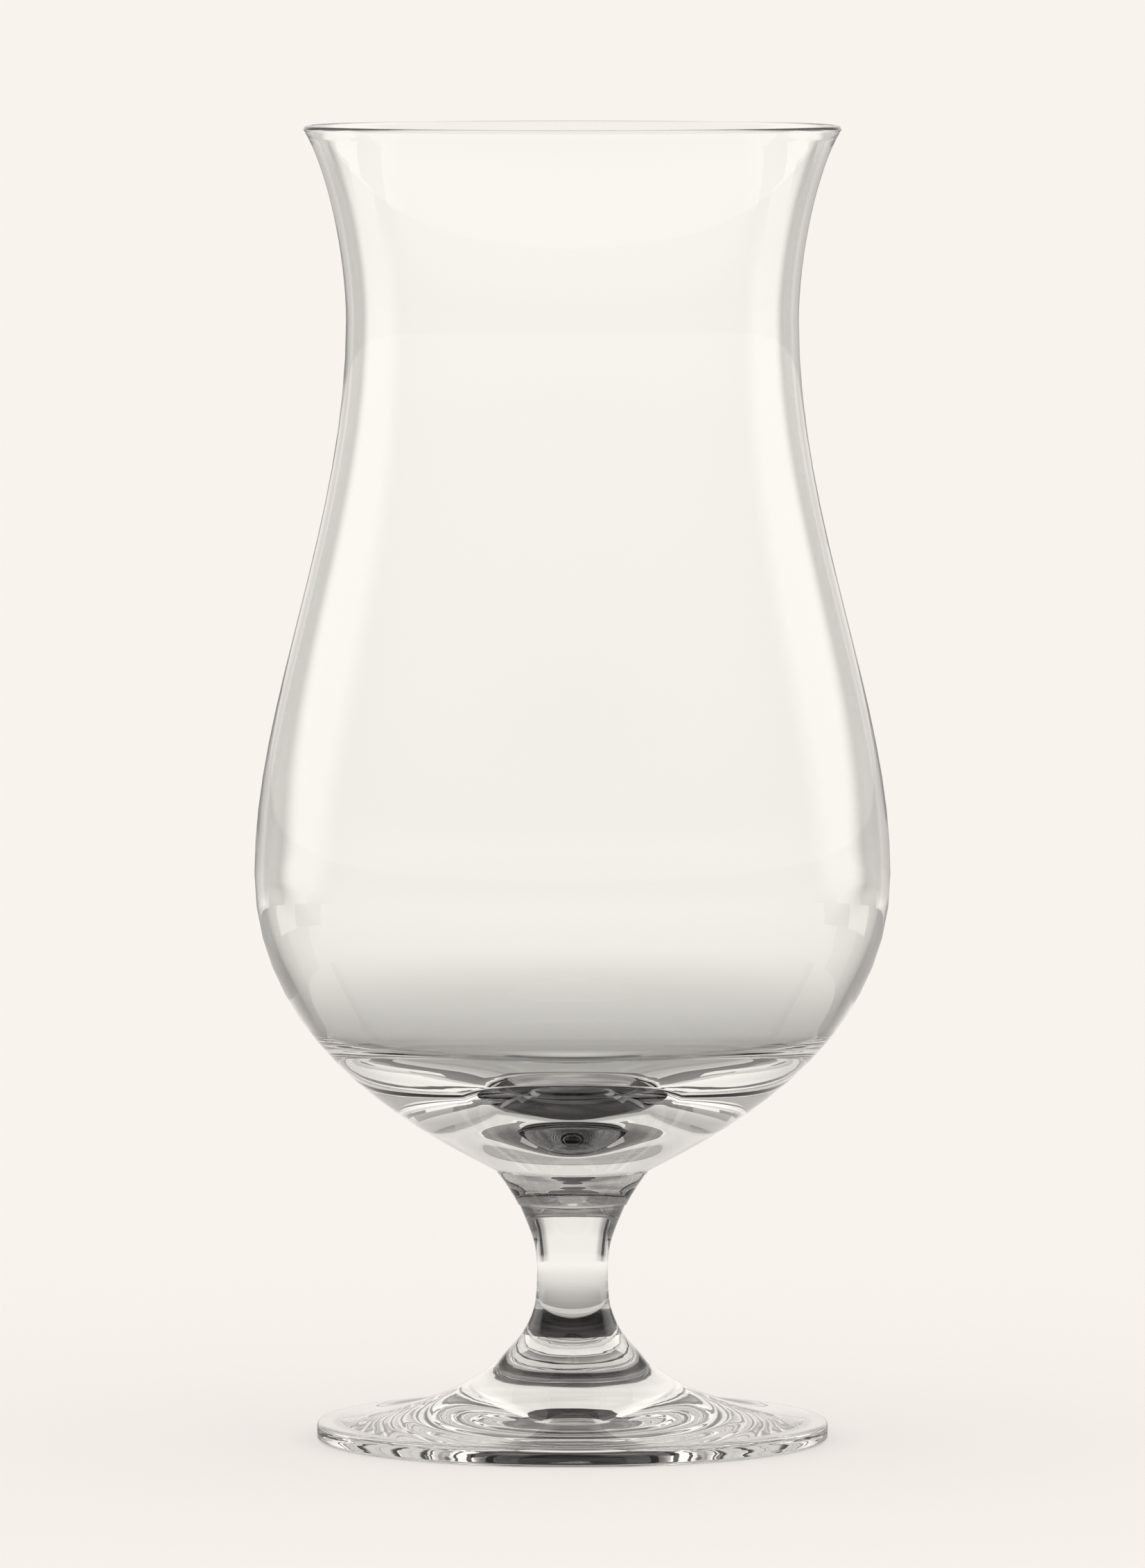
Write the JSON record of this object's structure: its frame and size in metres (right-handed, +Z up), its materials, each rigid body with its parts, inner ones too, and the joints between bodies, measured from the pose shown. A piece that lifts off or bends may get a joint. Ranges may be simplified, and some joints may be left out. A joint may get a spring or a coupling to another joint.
{
  "type": "hurricane glass",
  "caption": "Clear stemmed hurricane glass: a tall waisted bowl with a flared rim and heavy base, on a short collar, drawn stem and round foot.",
  "frame": {"origin": "centre of the flat surface that the foot stands on", "axes": "+Z up along the axis of the glass, from foot to rim; +X and +Y lie in the surface, and every direction round the axis is alike"},
  "size_m": [0.087, 0.087, 0.18],
  "materials": {
    "bowl_glass": "clear, fire-polished",
    "collar_glass": "clear, fire-polished",
    "stem_glass": "clear, with faint draw lines and mould seam",
    "foot_glass": "clear, fire-polished"
  },
  "bodies": {
    "root": {"bowl": "bowl_glass", "collar": "collar_glass", "stem": "stem_glass", "foot": "foot_glass"}
  },
  "joints": []
}
